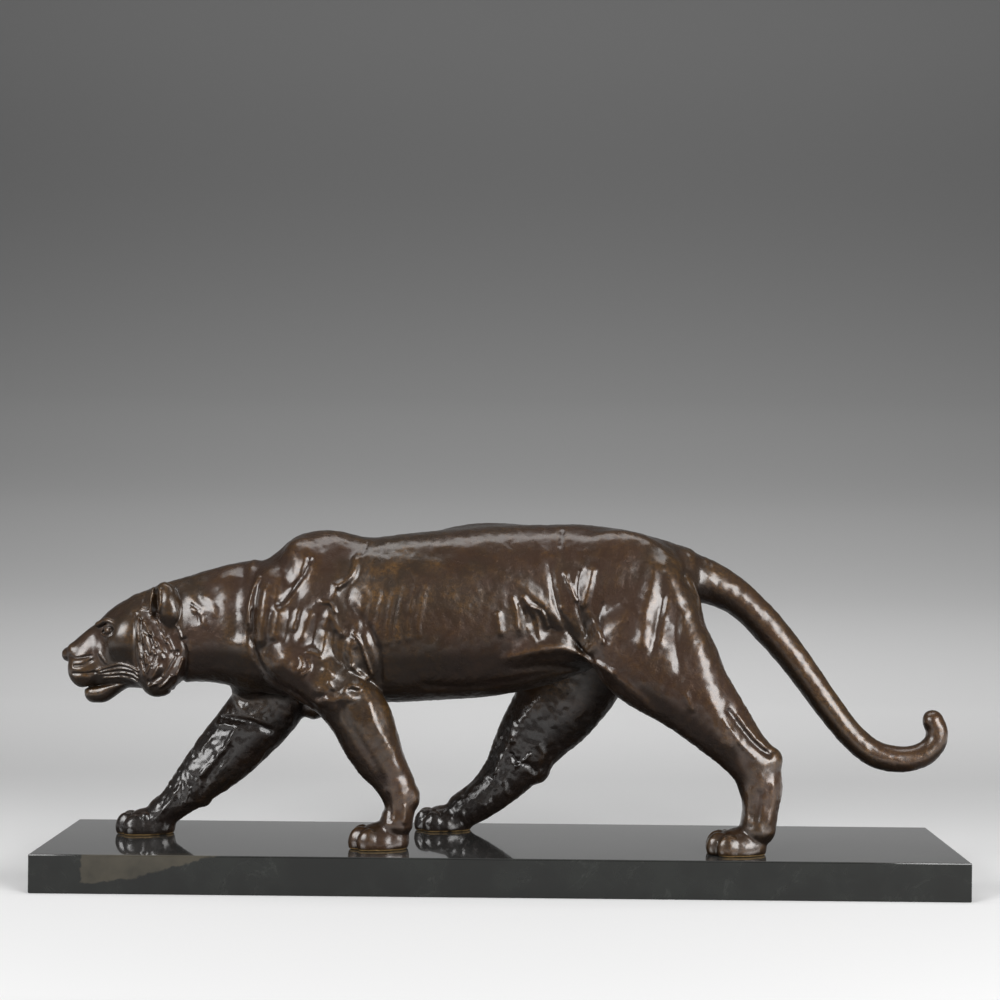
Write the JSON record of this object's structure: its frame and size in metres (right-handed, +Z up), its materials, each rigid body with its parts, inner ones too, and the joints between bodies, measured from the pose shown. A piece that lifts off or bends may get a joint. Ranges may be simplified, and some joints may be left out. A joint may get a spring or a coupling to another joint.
{
  "type": "bronze panther sculpture",
  "caption": "Walking panther cast in brown bronze, head low and tail curled up, fixed by hidden studs to a long polished dark marble slab.",
  "frame": {"origin": "middle of the slab's underside, the face that the sculpture stands on", "axes": "+Z up, the animal walks towards -X, +X runs towards its tail along the slab, +Y across the slab towards the animal's right side"},
  "size_m": [0.72, 0.145, 0.2851],
  "materials": {
    "bronze": "warm dark brown patina under wax, amber rub marks, glossy, slightly hammered",
    "marble": "polished dark green-black marble with a pale tan vein",
    "steel": "plain bright steel"
  },
  "bodies": {
    "root": {"panther": "bronze", "marble_base": "marble", "stud_left_fore": "steel", "washer_left_fore": "steel", "nut_left_fore": "steel", "stud_right_fore": "steel", "washer_right_fore": "steel", "nut_right_fore": "steel", "stud_left_hind": "steel", "washer_left_hind": "steel", "nut_left_hind": "steel", "stud_right_hind": "steel", "washer_right_hind": "steel", "nut_right_hind": "steel"}
  },
  "joints": []
}
